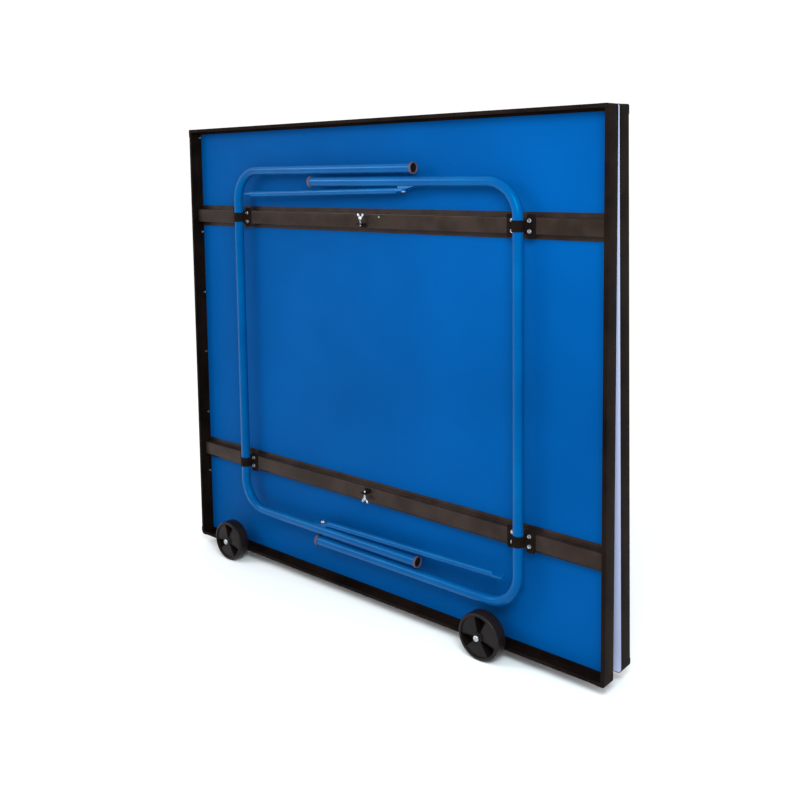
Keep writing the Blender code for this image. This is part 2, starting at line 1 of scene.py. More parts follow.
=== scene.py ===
# The looks of a folding table tennis table. Two half tables stand on edge on their wheels with the
# playing faces together; blue tube legs lie folded in black frames of folded steel.
import json
import math
import bpy
import numpy as np
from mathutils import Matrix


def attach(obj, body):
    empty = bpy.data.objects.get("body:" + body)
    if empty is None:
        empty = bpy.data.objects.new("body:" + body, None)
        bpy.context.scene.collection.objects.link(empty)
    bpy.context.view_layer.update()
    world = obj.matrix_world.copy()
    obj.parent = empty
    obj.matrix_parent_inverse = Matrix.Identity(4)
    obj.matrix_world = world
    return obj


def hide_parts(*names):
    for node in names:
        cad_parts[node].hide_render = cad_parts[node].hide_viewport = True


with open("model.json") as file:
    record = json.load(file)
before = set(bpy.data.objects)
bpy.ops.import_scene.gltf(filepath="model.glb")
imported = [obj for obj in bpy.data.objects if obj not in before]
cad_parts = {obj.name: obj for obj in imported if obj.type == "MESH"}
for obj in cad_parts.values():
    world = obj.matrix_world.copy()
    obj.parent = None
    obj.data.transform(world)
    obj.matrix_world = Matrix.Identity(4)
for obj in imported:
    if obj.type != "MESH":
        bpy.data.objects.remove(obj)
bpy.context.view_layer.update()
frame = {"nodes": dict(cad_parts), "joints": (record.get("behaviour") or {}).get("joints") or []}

# Each half has its own axes: x along its long edge from the middle, y from its open side to its
# playing face, z up from its lower edge.
xWay, yWay, zWay = np.eye(3)
sides = {"left": -1, "right": 1}
joints = {joint["name"]: joint for joint in frame["joints"]}
print("frame loaded:", len(frame["nodes"]), "nodes")


def vertices(node, half):
    corners = frame["nodes"][f"half_{half}_{node}"].data.vertices
    flat = np.empty(len(corners) * 3)
    corners.foreach_get("co", flat)
    return flat.reshape(-1, 3)


def halfFrame(half):
    up = np.array(joints[f"right_leg_{half}_fold"]["axis"])
    along = np.array([1.0 if half == "a" else -1.0, 0.0, 0.0])
    axes = np.array([along, np.cross(up, along), up])
    rim = [vertices(f"apron_{side}", half) for side in ("bottom", "top", "left", "right")]
    spots = np.concatenate(rim) @ axes.T
    corner = spots.min(0)
    corner[0] = (spots[:, 0].min() + spots[:, 0].max()) / 2
    return {"axes": axes, "origin": corner @ axes}


halves = {half: halfFrame(half) for half in "ab"}


def inHalf(points, half):
    return (np.asarray(points, float) - halves[half]["origin"]) @ halves[half]["axes"].T


def inWorld(points, half):
    return np.asarray(points, float) @ halves[half]["axes"] + halves[half]["origin"]


def reach(node, half="a"):                  # lowest and highest corner of a CAD node in its half
    spots = inHalf(vertices(node, half), half)
    return spots.min(0), spots.max(0)


farCorner = np.maximum(reach("apron_top")[1], reach("apron_right")[1])
long, depth, short = farCorner * (2, 1, 1)      # size of a half along x, y and z
armLow, armHigh = reach("left_leg")
tube = {"radius": (armHigh[1] - armLow[1]) / 2, "depth": (armHigh[1] + armLow[1]) / 2}
upright = halves["a"]["axes"][2]
lean = math.atan2(upright[1], upright[2])       # each half's tilt about its long edge


def fullTurn(steps):
    return np.linspace(0, 2 * np.pi, steps, endpoint=False)


def onCircle(angle, radius):
    return np.column_stack([radius * np.cos(angle), radius * np.sin(angle)])


def rounded(corners, steps=4):
    # Outline through (x, y, radius) corners. Each corner becomes a parabola between the two points
    # where an arc of that radius would touch its sides.
    corners = np.array(corners, float)
    spots, radii = corners[:, :2], corners[:, 2:]
    before, after = np.roll(spots, 1, 0) - spots, np.roll(spots, -1, 0) - spots
    before /= np.linalg.norm(before, axis=1, keepdims=True)
    after /= np.linalg.norm(after, axis=1, keepdims=True)
    half = np.arccos(np.clip((before * after).sum(1, keepdims=True), -1, 1)) / 2
    length = radii / np.tan(half)
    share = np.linspace(0, 1, steps + 1)[:, None, None]
    curve = ((1 - share) ** 2 * (spots + before * length) + 2 * share * (1 - share) * spots
             + share ** 2 * (spots + after * length))
    curve = curve.transpose(1, 0, 2).reshape(-1, 2)
    apart = np.linalg.norm(curve - np.roll(curve, -1, 0), axis=1) > 1e-6
    return curve[apart]


def roundedBox(left, low, right, high, radius, steps=4):
    corners = [(left, low), (right, low), (right, high), (left, high)]
    return rounded([(*corner, radius) for corner in corners], steps)


def loft(rings, closed=False):
    # Skin over rings of equal length: stations x points around x 3. An open one gets flat ends.
    rings = np.asarray(rings, float)
    rows, columns = rings.shape[:2]
    row = np.arange(rows if closed else rows - 1)[:, None]
    column = np.arange(columns)[None]
    nextRow, nextColumn = (row + 1) % rows, (column + 1) % columns
    corners = (row * columns + column, row * columns + nextColumn,
               nextRow * columns + nextColumn, nextRow * columns + column)
    quads = np.stack(np.broadcast_arrays(*corners), -1).reshape(-1, 4)
    ends = [] if closed else [np.arange(columns)[::-1], (rows - 1) * columns + np.arange(columns)]
    return rings.reshape(-1, 3), quads, ends


def turned(profile, steps, closed=False):
    # (radius, height) profile carried round the third axis
    profile = np.asarray(profile, float)
    angle = fullTurn(steps)
    radius, height = profile[:, :1], profile[:, 1:]
    rings = np.stack([radius * np.cos(angle), radius * np.sin(angle),
                      np.repeat(height, steps, 1)], -1)
    return loft(rings, closed)


def prism(outline, low, high):
    # outline in the first two axes, carried along the third
    outline = np.asarray(outline, float)
    return loft([np.column_stack([outline, np.full(len(outline), w)]) for w in (low, high)])


def tubeRings(path, depth, radius, steps):
    # Circles of the given radii round a path of (x, z) points in the plane y = depth
    way = np.gradient(path, axis=0)
    way /= np.linalg.norm(way, axis=1, keepdims=True)
    angle = fullTurn(steps)
    radius = np.broadcast_to(radius, len(path))[:, None]
    off = radius * np.cos(angle)
    x = path[:, :1] - way[:, 1:] * off
    z = path[:, 1:] + way[:, :1] * off
    return np.stack([x, depth + radius * np.sin(angle), z], -1)


def laid(solid, origin, first, second, third):
    # a solid in its own three axes, laid in the half
    points, quads, ends = solid
    return points @ np.array([first, second, third], float) + origin, quads, ends


beadLook = {"station": 0.0008, "ripple": 0.0024, "rippleShare": 0.16, "fadePower": 8,
            "endShare": 0.05, "steps": 8}


def bead(start, end, radius):
    # Weld bead: a thin round cord with regular ripples, fading out at both ends.
    look = beadLook
    start, end = np.array(start, float), np.array(end, float)
    length = np.linalg.norm(end - start)
    share = np.linspace(0, 1, max(8, int(length / look["station"])))
    ripple = 1 + look["rippleShare"] * np.cos(share * length / look["ripple"] * 2 * np.pi)
    swell = (1 - np.abs(2 * share - 1) ** look["fadePower"]) * ripple
    way = (end - start) / length
    side = np.cross(way, [0.3, 0.5, 0.8])           # any direction that isn't along the bead
    side /= np.linalg.norm(side)
    angle = fullTurn(look["steps"])[None, :, None]
    ring = np.cos(angle) * side + np.sin(angle) * np.cross(way, side)
    size = (radius * np.maximum(swell, look["endShare"]))[:, None, None]
    return loft((start + share[:, None] * (end - start))[:, None] + ring * size)


def inwards(points, quads, ends):
    # the volume under all faces, as seen from the middle: below zero when the skin is inside out
    fans = [quads[:, :3], quads[:, [0, 2, 3]]]
    fans += [np.column_stack([np.full(len(e) - 2, e[0]), e[1:-1], e[2:]]) for e in ends]
    a, b, c = (points - points.mean(0))[np.concatenate(fans).T]
    return (a * np.cross(b, c)).sum() < 0


def newObject(name, data):
    made = bpy.data.objects.new(name, data)
    bpy.context.scene.collection.objects.link(made)
    return made


shading = {"sharpDegrees": 35, "bevelDegrees": 40, "bevelSegments": 2}


def addPiece(name, half, solids, material, node=None, body=None, bevel=None):
    # Closed skins as one object of the half, in place of a CAD node. It rides on the half itself
    # unless a body is given.
    name = f"half{half.upper()}{name}"
    points, faces, count = [], [], 0
    for spots, quads, ends in solids:
        spots = inWorld(spots, half)
        turn = -1 if inwards(spots, quads, ends) else 1
        faces += (quads[:, ::turn] + count).tolist()
        faces += [(end[::turn] + count).tolist() for end in ends]
        points.append(spots)
        count += len(spots)
    mesh = bpy.data.meshes.new(name)
    mesh.from_pydata(np.concatenate(points).tolist(), [], faces)
    mesh.shade_smooth()
    mesh.set_sharp_from_angle(angle=math.radians(shading["sharpDegrees"]))
    mesh.materials.append(material)
    piece = newObject(name, mesh)
    if bevel:
        edges = piece.modifiers.new("edges", "BEVEL")
        edges.width = bevel
        edges.segments = shading["bevelSegments"]
        edges.limit_method = "ANGLE"
        edges.angle_limit = math.radians(shading["bevelDegrees"])
        edges.harden_normals = True
    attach(piece, body or f"half_{half}")
    if node:
        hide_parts(f"half_{half}_{node}")
    return piece


# materials

def linear(colour):
    parts = [int(colour[i:i + 2], 16) / 255 for i in (1, 3, 5)]
    return [*(p / 12.92 if p <= 0.04045 else ((p + 0.055) / 1.055) ** 2.4 for p in parts), 1]


def feed(tree, socket, value):              # link another node's output, or set a constant
    if isinstance(value, bpy.types.NodeSocket):
        tree.links.new(value, socket)
    else:
        socket.default_value = value


def addNode(tree, kind, inputs=None, **settings):
    made = tree.nodes.new("ShaderNode" + kind)
    for name, value in settings.items():
        setattr(made, name, value)
    for socket, value in (inputs or {}).items():
        feed(tree, made.inputs[socket], value)
    return made


def newMaterial(name, settings):
    material = bpy.data.materials.new(name)
    material.use_nodes = True
    shader = material.node_tree.nodes["Principled BSDF"]
    for socket, value in settings.items():
        shader.inputs[socket].default_value = value
    return material, material.node_tree, shader


def noise(tree, place, size, detail=2.0, rough=0.5):        # size of its features in millimetres
    inputs = {"Vector": place, "Scale": 1000 / size, "Detail": detail, "Roughness": rough}
    return addNode(tree, "TexNoise", inputs).outputs["Fac"]


def ramp(tree, value, low, high, start=0.35, end=0.65):
    inputs = {"Value": value, "From Min": start, "From Max": end, "To Min": low, "To Max": high}
    return addNode(tree, "MapRange", inputs).outputs["Result"]


def mixed(tree, share, first, second):
    mix = addNode(tree, "Mix", data_type="RGBA")
    sockets = {socket.identifier: socket for socket in [*mix.inputs, *mix.outputs]}
    for name, value in (("Factor_Float", share), ("A_Color", first), ("B_Color", second)):
        feed(tree, sockets[name], value)
    return sockets["Result_Color"]


def colourDrift(tree, shader, pattern, look):
    colour = mixed(tree, ramp(tree, pattern, 0, 1), linear(look["dark"]), linear(look["light"]))
    tree.links.new(colour, shader.inputs["Base Color"])


def roughen(tree, shader, pattern, look):
    tree.links.new(ramp(tree, pattern, *look["roughness"]), shader.inputs["Roughness"])


def bumped(tree, shader, height, depth):
    bump = addNode(tree, "Bump", {"Height": height, "Distance": depth, "Strength": 1.0})
    tree.links.new(bump.outputs["Normal"], shader.inputs["Normal"])


def powderCoat(name, look):
    # Powder coat, sprayed and baked: a soft sheen in the coat's own tint, broken up by a fine
    # orange peel, and a colour that drifts a little from place to place.
    material, tree, shader = newMaterial(name, {
        "Specular IOR Level": look["specular"], "IOR": 1.5, "Specular Tint": linear(look["tint"])})
    place = addNode(tree, "TexCoord").outputs["Object"]
    peel = noise(tree, place, look["peelSize"], 2)
    colourDrift(tree, shader, noise(tree, place, look["driftSize"], 3), look)
    roughen(tree, shader, peel, look)
    bumped(tree, shader, peel, look["peelDepth"])
    return material


def mouldedPlastic(name, look):
    # Injection-moulded polypropylene: even and slightly waxy, with a fine spark-eroded grain.
    material, tree, shader = newMaterial(name, {
        "Specular IOR Level": look["specular"], "IOR": 1.49})
    place = addNode(tree, "TexCoord").outputs["Object"]
    grain = noise(tree, place, look["grainSize"], 4, 0.6)
    colourDrift(tree, shader, noise(tree, place, look["flowSize"], 2), look)
    roughen(tree, shader, grain, look)
    bumped(tree, shader, grain, look["grainDepth"])
    return material


def zincPlated(name, look):
    # Zinc-plated steel: bright metal with a faint blue cast, dulled in small cloudy patches.
    material, tree, shader = newMaterial(name, {"Metallic": 1.0})
    place = addNode(tree, "TexCoord").outputs["Object"]
    cloud = noise(tree, place, look["cloudSize"], 4, 0.6)
    colourDrift(tree, shader, cloud, look)
    roughen(tree, shader, cloud, look)
    bumped(tree, shader, noise(tree, place, look["grainSize"], 2), look["grainDepth"])
    return material


def laminate(name, half, look, low, high):
    # Melamine laminate on both faces of the board. The playing face has printed white edge lines
    # and a thin centre line, coloured lavender grey: white print with painted shade and a painted
    # bluish reflection on it. The underside is plain. Both have a fine matt grain against glare.
    material, tree, shader = newMaterial(name, {
        "Specular IOR Level": look["specular"], "IOR": 1.5, "Specular Tint": linear(look["tint"])})
    place = addNode(tree, "TexCoord").outputs["Object"]
    turn = (-lean, 0, 0) if half == "a" else (-lean, 0, math.pi)
    flat = addNode(tree, "Mapping", {"Vector": place, "Location": halves[half]["origin"].tolist(),
                                     "Rotation": turn}, vector_type="TEXTURE")
    part = addNode(tree, "SeparateXYZ", {"Vector": flat.outputs["Vector"]})
    middle, size = (low + high) / 2, (high - low) / 2

    def calculate(operation, first, second):
        return addNode(tree, "Math", {0: first, 1: second}, operation=operation).outputs[0]

    x = calculate("ABSOLUTE", part.outputs["X"], 0.0)
    z = calculate("ABSOLUTE", calculate("SUBTRACT", part.outputs["Z"], middle[2]), 0.0)
    lines = calculate("MAXIMUM", calculate("GREATER_THAN", x, size[0] - look["edgeLine"]),
                      calculate("GREATER_THAN", z, size[2] - look["edgeLine"]))
    lines = calculate("MAXIMUM", lines, calculate("LESS_THAN", x, look["centreLine"] / 2))
    face = calculate("GREATER_THAN", part.outputs["Y"], high[1] - look["printDepth"])
    lines = calculate("MULTIPLY", lines, face)
    drift = ramp(tree, noise(tree, place, look["driftSize"], 2), 0, 1)
    under = mixed(tree, drift, linear(look["underDark"]), linear(look["underLight"]))
    printed = mixed(tree, face, under, linear(look["playing"]))
    # line colour: white print darkened to lavender grey, painted shade on the print
    tree.links.new(mixed(tree, lines, printed, linear(look["line"])), shader.inputs["Base Color"])
    grain = noise(tree, place, look["grainSize"], 3, 0.6)
    roughen(tree, shader, grain, look)
    bumped(tree, shader, grain, look["grainDepth"])
    return material


frameBlack = powderCoat("texturedPowderCoatBlack", {
    "dark": "#0f0a09", "light": "#1a1310", "roughness": (0.40, 0.56), "specular": 0.02,
    "tint": "#c9a593", "driftSize": 90, "peelSize": 0.7, "peelDepth": 0.00005})
railBlack = powderCoat("texturedPowderCoatUmber", {
    "dark": "#1c1512", "light": "#2a211e", "roughness": (0.22, 0.36), "specular": 0.22,
    "tint": "#d8b8a8", "driftSize": 60, "peelSize": 0.9, "peelDepth": 0.00006})
tubeBlue = powderCoat("glossPowderCoatBlue", {
    "dark": "#00427a", "light": "#004b83", "roughness": (0.2, 0.28), "specular": 0.36,
    "tint": "#009ac8", "driftSize": 140, "peelSize": 1.4, "peelDepth": 0.00002})
# Black plastic for the foot caps' recessed discs and the rail's hole plug, also used as painted
# shade in the recess and in the hole.
blackPlasticAndPaintedShade = mouldedPlastic("blackPolyethyleneAndPaintedShade", {
    "dark": "#100b0a", "light": "#191210", "roughness": (0.42, 0.56), "specular": 0.03,
    "grainSize": 0.4, "flowSize": 30, "grainDepth": 0.00003})
wheelPlastic = mouldedPlastic("mouldedPolypropyleneBlack", {
    "dark": "#120d0c", "light": "#1b1514", "roughness": (0.34, 0.48), "specular": 0.14,
    "grainSize": 0.5, "flowSize": 40, "grainDepth": 0.00003})
# Grey plastic of the foot caps' rims, made lighter than the cap as painted light where the rim
# catches the lamps.
capRimLitGrey = mouldedPlastic("greyPolyethyleneWithPaintedRimLight", {
    "dark": "#403945", "light": "#4f4755", "roughness": (0.4, 0.55), "specular": 0.2,
    "grainSize": 0.4, "flowSize": 20, "grainDepth": 0.00003})
zinc = zincPlated("zincPlatedSteel", {
    "dark": "#95979c", "light": "#c3c5ca", "roughness": (0.22, 0.4), "cloudSize": 5,
    "grainSize": 0.3, "grainDepth": 0.00001})
print("materials made")


# board and edge frame

boardLook = {"cornerRadius": {"bottomLeft": 0.0115, "other": 0.004}, "cutEdge": 0.0004}
# The printed lines are white; their colour here is toned to lavender grey as painted shade and a
# painted bluish reflection.
laminateLook = {"underDark": "#00427d", "underLight": "#004887", "playing": "#00407b",
                "line": "#b0b4cf", "edgeLine": 0.020, "centreLine": 0.003, "printDepth": 0.0008,
                "specular": 0.06, "tint": "#0070c0", "roughness": (0.5, 0.62), "driftSize": 420,
                "grainSize": 0.9, "grainDepth": 0.00003}
apronLook = {"sheet": 0.0015, "lip": 0.010, "flange": 0.016, "gap": 0.0003,
             "outerBend": 0.0024, "innerBend": 0.0009, "backBend": 0.0002, "cutEdge": 0.0003,
             "corner": 0.024, "seam": 0.00002}
cornerLook = {"wall": 0.0016, "lip": 0.0102, "lipSheet": 0.002, "proud": 0.0006,
              "overlap": 0.0006, "setBack": 0.0002, "cutEdge": 0.0004, "leastRadius": 0.0006,
              "steps": 8, "radius": {"bottomLeft": 0.014, "other": 0.0055}}
flangeFront = reach("board")[0][1] - apronLook["gap"] - apronLook["sheet"]


def apronOutline():
    # (inward, depth): lip on the open side, web outside, flange under the board's edge
    look = apronLook
    sheet, cut, front = look["sheet"], look["cutEdge"], flangeFront
    back = front + sheet
    return rounded([(0, 0, look["outerBend"]), (look["lip"], 0, cut), (look["lip"], sheet, cut),
                    (sheet, sheet, look["innerBend"]), (sheet, front, look["innerBend"]),
                    (look["flange"], front, cut), (look["flange"], back, cut),
                    (sheet, back, look["backBend"]), (sheet, depth, cut), (0, depth, cut)])


def addEdgeFrame(letter):
    outline = apronOutline()
    corner = apronLook["corner"] + apronLook["seam"]
    places = {"bottom": ((0, 0, 0), zWay, xWay, long),
              "top": ((0, 0, short), -zWay, xWay, long),
              "left": ((-long / 2, 0, short / 2), xWay, zWay, short),
              "right": ((long / 2, 0, short / 2), -xWay, zWay, short)}
    for side, (place, inward, along, length) in places.items():
        solid = prism(outline, corner - length / 2, length / 2 - corner)
        addPiece(f"Apron{side.title()}", letter, [laid(solid, place, inward, yWay, along)],
                 frameBlack, f"apron_{side}")


def cornerOutline(radius, width):
    # L round a corner at (0, 0) with legs along both axes, as wide as given
    size, cut = apronLook["corner"], cornerLook["cutEdge"]
    inside = max(radius - width, cornerLook["leastRadius"])
    return rounded([(0, 0, radius), (size, 0, cut), (size, width, cut), (width, width, inside),
                    (width, size, cut), (0, size, cut)], cornerLook["steps"])


def addCorners(letter):
    # Pressed corner piece: lip plate, thin wall round the board's corner, and a flange behind it
    look = cornerLook
    back = flangeFront + apronLook["sheet"]
    layers = ((-look["proud"], look["lipSheet"], look["lip"]),
              (look["lipSheet"], depth - look["setBack"], look["wall"]),
              (flangeFront - look["overlap"], back - look["setBack"], apronLook["flange"]))
    for name, x, z in (("bottomLeft", -1, -1), ("bottomRight", 1, -1), ("topLeft", -1, 1),
                       ("topRight", 1, 1)):
        radius = look["radius"].get(name, look["radius"]["other"])
        place = (x * long / 2, 0, short if z > 0 else 0)
        solids = [laid(prism(cornerOutline(radius, width), low, high), place, -x * xWay,
                       -z * zWay, yWay) for low, high, width in layers]
        addPiece(f"Corner{name[0].upper()}{name[1:]}", letter, solids, frameBlack,
                 bevel=look["cutEdge"])


def addBoard(letter):
    low, high = reach("board", letter)
    radius = boardLook["cornerRadius"]
    corner, other = radius["bottomLeft"], radius["other"]
    outline = rounded([(low[0], low[2], corner), (high[0], low[2], other),
                       (high[0], high[2], other), (low[0], high[2], other)], 8)
    material = laminate(f"melamineLaminate{letter.upper()}", letter,
                        laminateLook, low, high)
    solid = laid(prism(outline, low[1], high[1]), (0, 0, 0), xWay, zWay, yWay)
    addPiece("Board", letter, [solid], material, "board", bevel=boardLook["cutEdge"])


# screws

screwLook = {"steps": 24, "washer": 0.0055, "washerHeight": 0.0008, "flats": 0.0040,
             "height": 0.0034, "chamfer": 0.0006, "cornerCut": 1.03, "dish": (0.0002, 0.0007)}


def ringsAt(stations, angle):
    # (radius, height) stations as rings round the third axis; a radius can differ by angle
    return loft([np.column_stack([onCircle(angle, radius), np.full(len(angle), height)])
                 for radius, height in stations])


def hexScrew(scale=1.0):
    # Washer-faced hexagon head on the third axis. The hexagon's radius at an angle is its
    # half-width over the cosine of the angle to the middle of that flat.
    look = screwLook
    angle = fullTurn(look["steps"])
    toFlat = np.mod(angle, np.pi / 3) - np.pi / 6
    hexagon = look["flats"] / np.cos(toFlat)
    circle = look["washer"]
    rise, height = look["washerHeight"], look["height"]
    top = np.minimum(hexagon, look["flats"] * look["cornerCut"])
    stations = ((circle, 0), (circle, rise * 0.7), (circle * 0.97, rise), (hexagon * 1.01, rise),
                (hexagon, height - look["chamfer"]), (top, height),
                (top * 0.7, height - look["dish"][0]), (top * 0.66, height - look["dish"][1]))
    points, quads, ends = ringsAt(stations, angle)
    return points * scale, quads, ends


def screwsAt(places, facing, scale=1.0):
    side = np.cross(facing, (0.31, 0.52, 0.79))         # any direction that isn't the screw's
    side /= np.linalg.norm(side)
    return [laid(hexScrew(scale), place, side, np.cross(facing, side), facing) for place in places]


# rails, saddles and the catches for the braces

railLook = {"sheet": 0.0015, "brim": 0.013, "outerBend": 0.0026, "innerBend": 0.0011,
            "cutEdge": 0.0003}
# black dome on the upper fold: painted shade of a punched hole
railHolePlugAndShade = {"x": 0.082, "depth": 0.009, "profile": ((0.006, 0), (0.006, 0.0006), (0.0045, 0.0011))}
railRivet = {"x": 0.057, "up": 0.0115, "scale": 0.55}
saddleLook = {"sheet": 0.002, "clearance": 0.0006, "arcSteps": 20, "screwOut": 0.0248,
              "screwApart": 0.026, "strap": 0.028, "footHeight": 0.058, "foot": 0.041,
              "footGap": 0.0008, "footCorner": 0.003, "seat": 0.0001, "cutEdge": 0.0004,
              "innerBend": 0.0008, "rootBend": 0.0016}
catchLook = {"sheet": 0.0025, "bend": 0.0028, "innerBend": 0.0008, "cutEdge": 0.0006,
             "bevel": 0.0003, "weld": 0.0009, "weldStart": 0.003, "weldDepth": 0.0002}
wingBoltLook = {"stem": 0.003, "steps": 20, "pitch": 0.001, "threadDepth": 0.00035,
                "threadRings": 130, "hubSteps": 24,
                "hub": ((0.002, 0), (0.006045, 0), (0.0065, 0.0007), (0.00624, 0.003),
                        (0.00507, 0.008), (0.00429, 0.009), (0.001, 0.009)),
                "rise": 0.016, "tip": 0.0036, "tipSteps": 14, "root": 0.0022, "rootSteps": 10,
                "rootAt": (0.00325, 0.0052), "sheet": 0.0028,
                "edge": ((0.9, -0.5), (0.985, -0.38), (1, 0), (0.985, 0.38), (0.9, 0.5))}


def railOutline(low, high):
    # Hat section as (up, depth) about the middle of the web
    look = railLook
    brim, web = (high[2] - low[2]) / 2, (high[2] - low[2]) / 2 - look["brim"]
    sheet, front, back = look["sheet"], low[1], high[1]
    bend, inside, cut = look["outerBend"], look["innerBend"], look["cutEdge"]
    upper = [(brim, back, cut), (brim, back - sheet, cut), (web, back - sheet, inside),
             (web, front, bend)]
    under = [(-(web - sheet), front + sheet, inside), (-(web - sheet), back, bend)]
    lower = [(-x, y, r) for x, y, r in reversed(upper)]
    return rounded(upper + lower + under[::-1] + [(-x, y, r) for x, y, r in under])


def addRails(letter):
    for name in ("lower", "upper"):
        low, high = reach(f"rail_{name}", letter)
        middle = (low[2] + high[2]) / 2
        solid = laid(prism(railOutline(low, high), low[0], high[0]), (0, 0, middle), zWay, yWay,
                     xWay)
        addPiece(f"Rail{name.title()}", letter, [solid], railBlack, f"rail_{name}")
    # the upper rail, which comes last, also has a black plug in its upper fold, painted shade
    # where the rail has a punched hole, and a rivet in its web
    place = (railHolePlugAndShade["x"], low[1] + railHolePlugAndShade["depth"], high[2] - railLook["brim"])
    plug = laid(turned(railHolePlugAndShade["profile"], 24), place, xWay, yWay, zWay)
    addPiece("RailHolePlugAndShade", letter, [plug], blackPlasticAndPaintedShade)
    place = (railRivet["x"], low[1], middle + railRivet["up"])
    rivet = laid(hexScrew(railRivet["scale"]), place, xWay, zWay, -yWay)
    addPiece("RailRivet", letter, [rivet], zinc)


def saddleOutline(inner, outer, front, back, foot):
    # Omega strap as (x, depth) about the pivot tube's axis: feet on the rail, an arc over the tube
    look = saddleLook
    cut, inside, root = look["cutEdge"], look["innerBend"], look["rootBend"]
    turn = np.linspace(np.pi, 2 * np.pi, look["arcSteps"])
    arc = np.column_stack([np.cos(turn), np.sin(turn), np.zeros(len(turn))])
    return rounded(np.concatenate([
        [(-foot, back, cut), (-foot, front, inside), (-outer, front, root)], arc * outer,
        [(outer, front, root), (foot, front, inside), (foot, back, cut), (inner, back, inside)],
        arc[::-1] * inner, [(-inner, back, inside)]]), 3)


def addSaddles(letter):
    look = saddleLook
    inner = tube["radius"] + look["clearance"]
    outer = inner + look["sheet"]
    width, tall = look["strap"] / 2, look["footHeight"] / 2
    out, apart = look["screwOut"], look["screwApart"] / 2
    plate = roundedBox(outer + look["footGap"], -tall, look["foot"], tall, look["footCorner"])
    screws = []
    for side in sides:
        for name in ("lower", "upper"):
            node = f"saddle_{side}_{name}"
            low, high = reach(node, letter)
            middle = (low + high) / 2
            back = high[1] - tube["depth"]
            front = back - look["sheet"]
            outline = saddleOutline(inner, outer, front, back, (high[0] - low[0]) / 2)
            place = (middle[0], tube["depth"], middle[2])
            strap = laid(prism(outline, -width, width), place, xWay, yWay, zWay)
            feet = [laid(prism(plate * (x, 1), front - look["seat"], back - look["seat"]), place,
                         xWay, zWay, yWay) for x in (-1, 1)]
            addPiece(f"Saddle{side.title()}{name.title()}", letter, [strap, *feet], frameBlack,
                     node, bevel=look["cutEdge"])
            screws += [(middle[0] + x, tube["depth"] + front, middle[2] + z)
                       for x in (-out, out) for z in (-apart, apart)]
    addPiece("SaddleScrews", letter, screwsAt(screws, -yWay), zinc)


def threadedShank(tip, height):
    # The thread's radius falls and rises with height and moves on by one pitch per turn.
    look = wingBoltLook
    turn = fullTurn(look["steps"])
    rise = np.linspace(tip, height, look["threadRings"])[:, None]
    wave = np.abs(np.mod(rise / look["pitch"] - turn / (2 * np.pi), 1) - 0.5) * 2
    radius = look["stem"] - look["threadDepth"] * wave
    return loft(np.stack([radius * np.cos(turn), radius * np.sin(turn),
                          np.broadcast_to(rise, radius.shape)], -1))


def wings(height, spread, top):
    # Each wing is the outline round two circles, a small one at the hub and a larger one at the
    # tip: where its straight sides touch, both circles are turned by the same angle. Its edge
    # gives the outline's share at each share of the sheet's thickness.
    look = wingBoltLook
    tipRadius, rootRadius = look["tip"], look["root"]
    root = look["rootAt"] + np.array([0, height])
    tipMiddle = np.array([spread - tipRadius, top - tipRadius])
    reachOut = tipMiddle - root
    slope = math.atan2(reachOut[1], reachOut[0])
    touch = math.acos((rootRadius - tipRadius) / np.linalg.norm(reachOut))
    around = slope + np.linspace(-touch, touch, look["tipSteps"])
    behind = slope + np.linspace(touch, 2 * np.pi - touch, look["rootSteps"])
    outline = np.concatenate([tipMiddle + onCircle(around, tipRadius),
                              root + onCircle(behind, rootRadius)])
    middle = outline.mean(0)
    pair = []
    for sign in (1, -1):
        rings = np.array([np.column_stack([(middle + (outline - middle) * share) * (sign, 1),
                                           np.full(len(outline), depth)])
                          for share, depth in look["edge"]]) * (1, 1, look["sheet"])
        pair.append(laid(loft(rings), (0, 0, 0), xWay, zWay, yWay))
    return pair


def wingBolt(low, high, face, away, y):
    # Threaded shank, a turned hub and two flat wings. Heights run along away from the tab's face.
    look = wingBoltLook
    tip, top = sorted(((low[2] - face) * away, (high[2] - face) * away))
    height = top - look["rise"]
    hub = turned([(radius, height + rise) for radius, rise in look["hub"]], look["hubSteps"])
    solids = [threadedShank(tip, height), hub, *wings(height, (high[0] - low[0]) / 2, top)]
    return [laid(s, (0, y, face), xWay, yWay, away * zWay) for s in solids]


def addCatches(letter):
    look = catchLook
    sheet, cut = look["sheet"], look["cutEdge"]
    for side, toRail in (("left", 1), ("right", -1)):
        joint = joints[f"{side}_wing_bolt_{letter}_turn"]
        face = inHalf(joint["pos_m"], letter)
        low, high = reach(f"{side}_brace_tab", letter)
        foot, back = high[2] - low[2], high[1]
        outline = rounded([(low[1], 0, cut), (back, 0, look["bend"]), (back, foot, cut),
                           (back - sheet, foot, cut), (back - sheet, sheet, look["innerBend"]),
                           (low[1], sheet, cut)])
        width = (high[0] - low[0]) / 2
        tab = laid(prism(outline, -width, width), (0, 0, face[2]), yWay, toRail * zWay, xWay)
        seam = back - look["weldDepth"]
        welds = [bead((x * width, seam, face[2] + toRail * look["weldStart"]),
                      (x * width, seam, face[2] + toRail * foot), look["weld"]) for x in (-1, 1)]
        addPiece(f"{side.title()}BraceTab", letter, [tab, *welds], frameBlack,
                 f"{side}_brace_tab", bevel=look["bevel"])
        low, high = reach(f"{side}_wing_bolt", letter)
        addPiece(f"{side.title()}WingBolt", letter,
                 wingBolt(low, high, face[2], -toRail, face[1]), zinc, f"{side}_wing_bolt",
                 f"{side}_wing_bolt_{letter}")


# legs, foot caps and braces

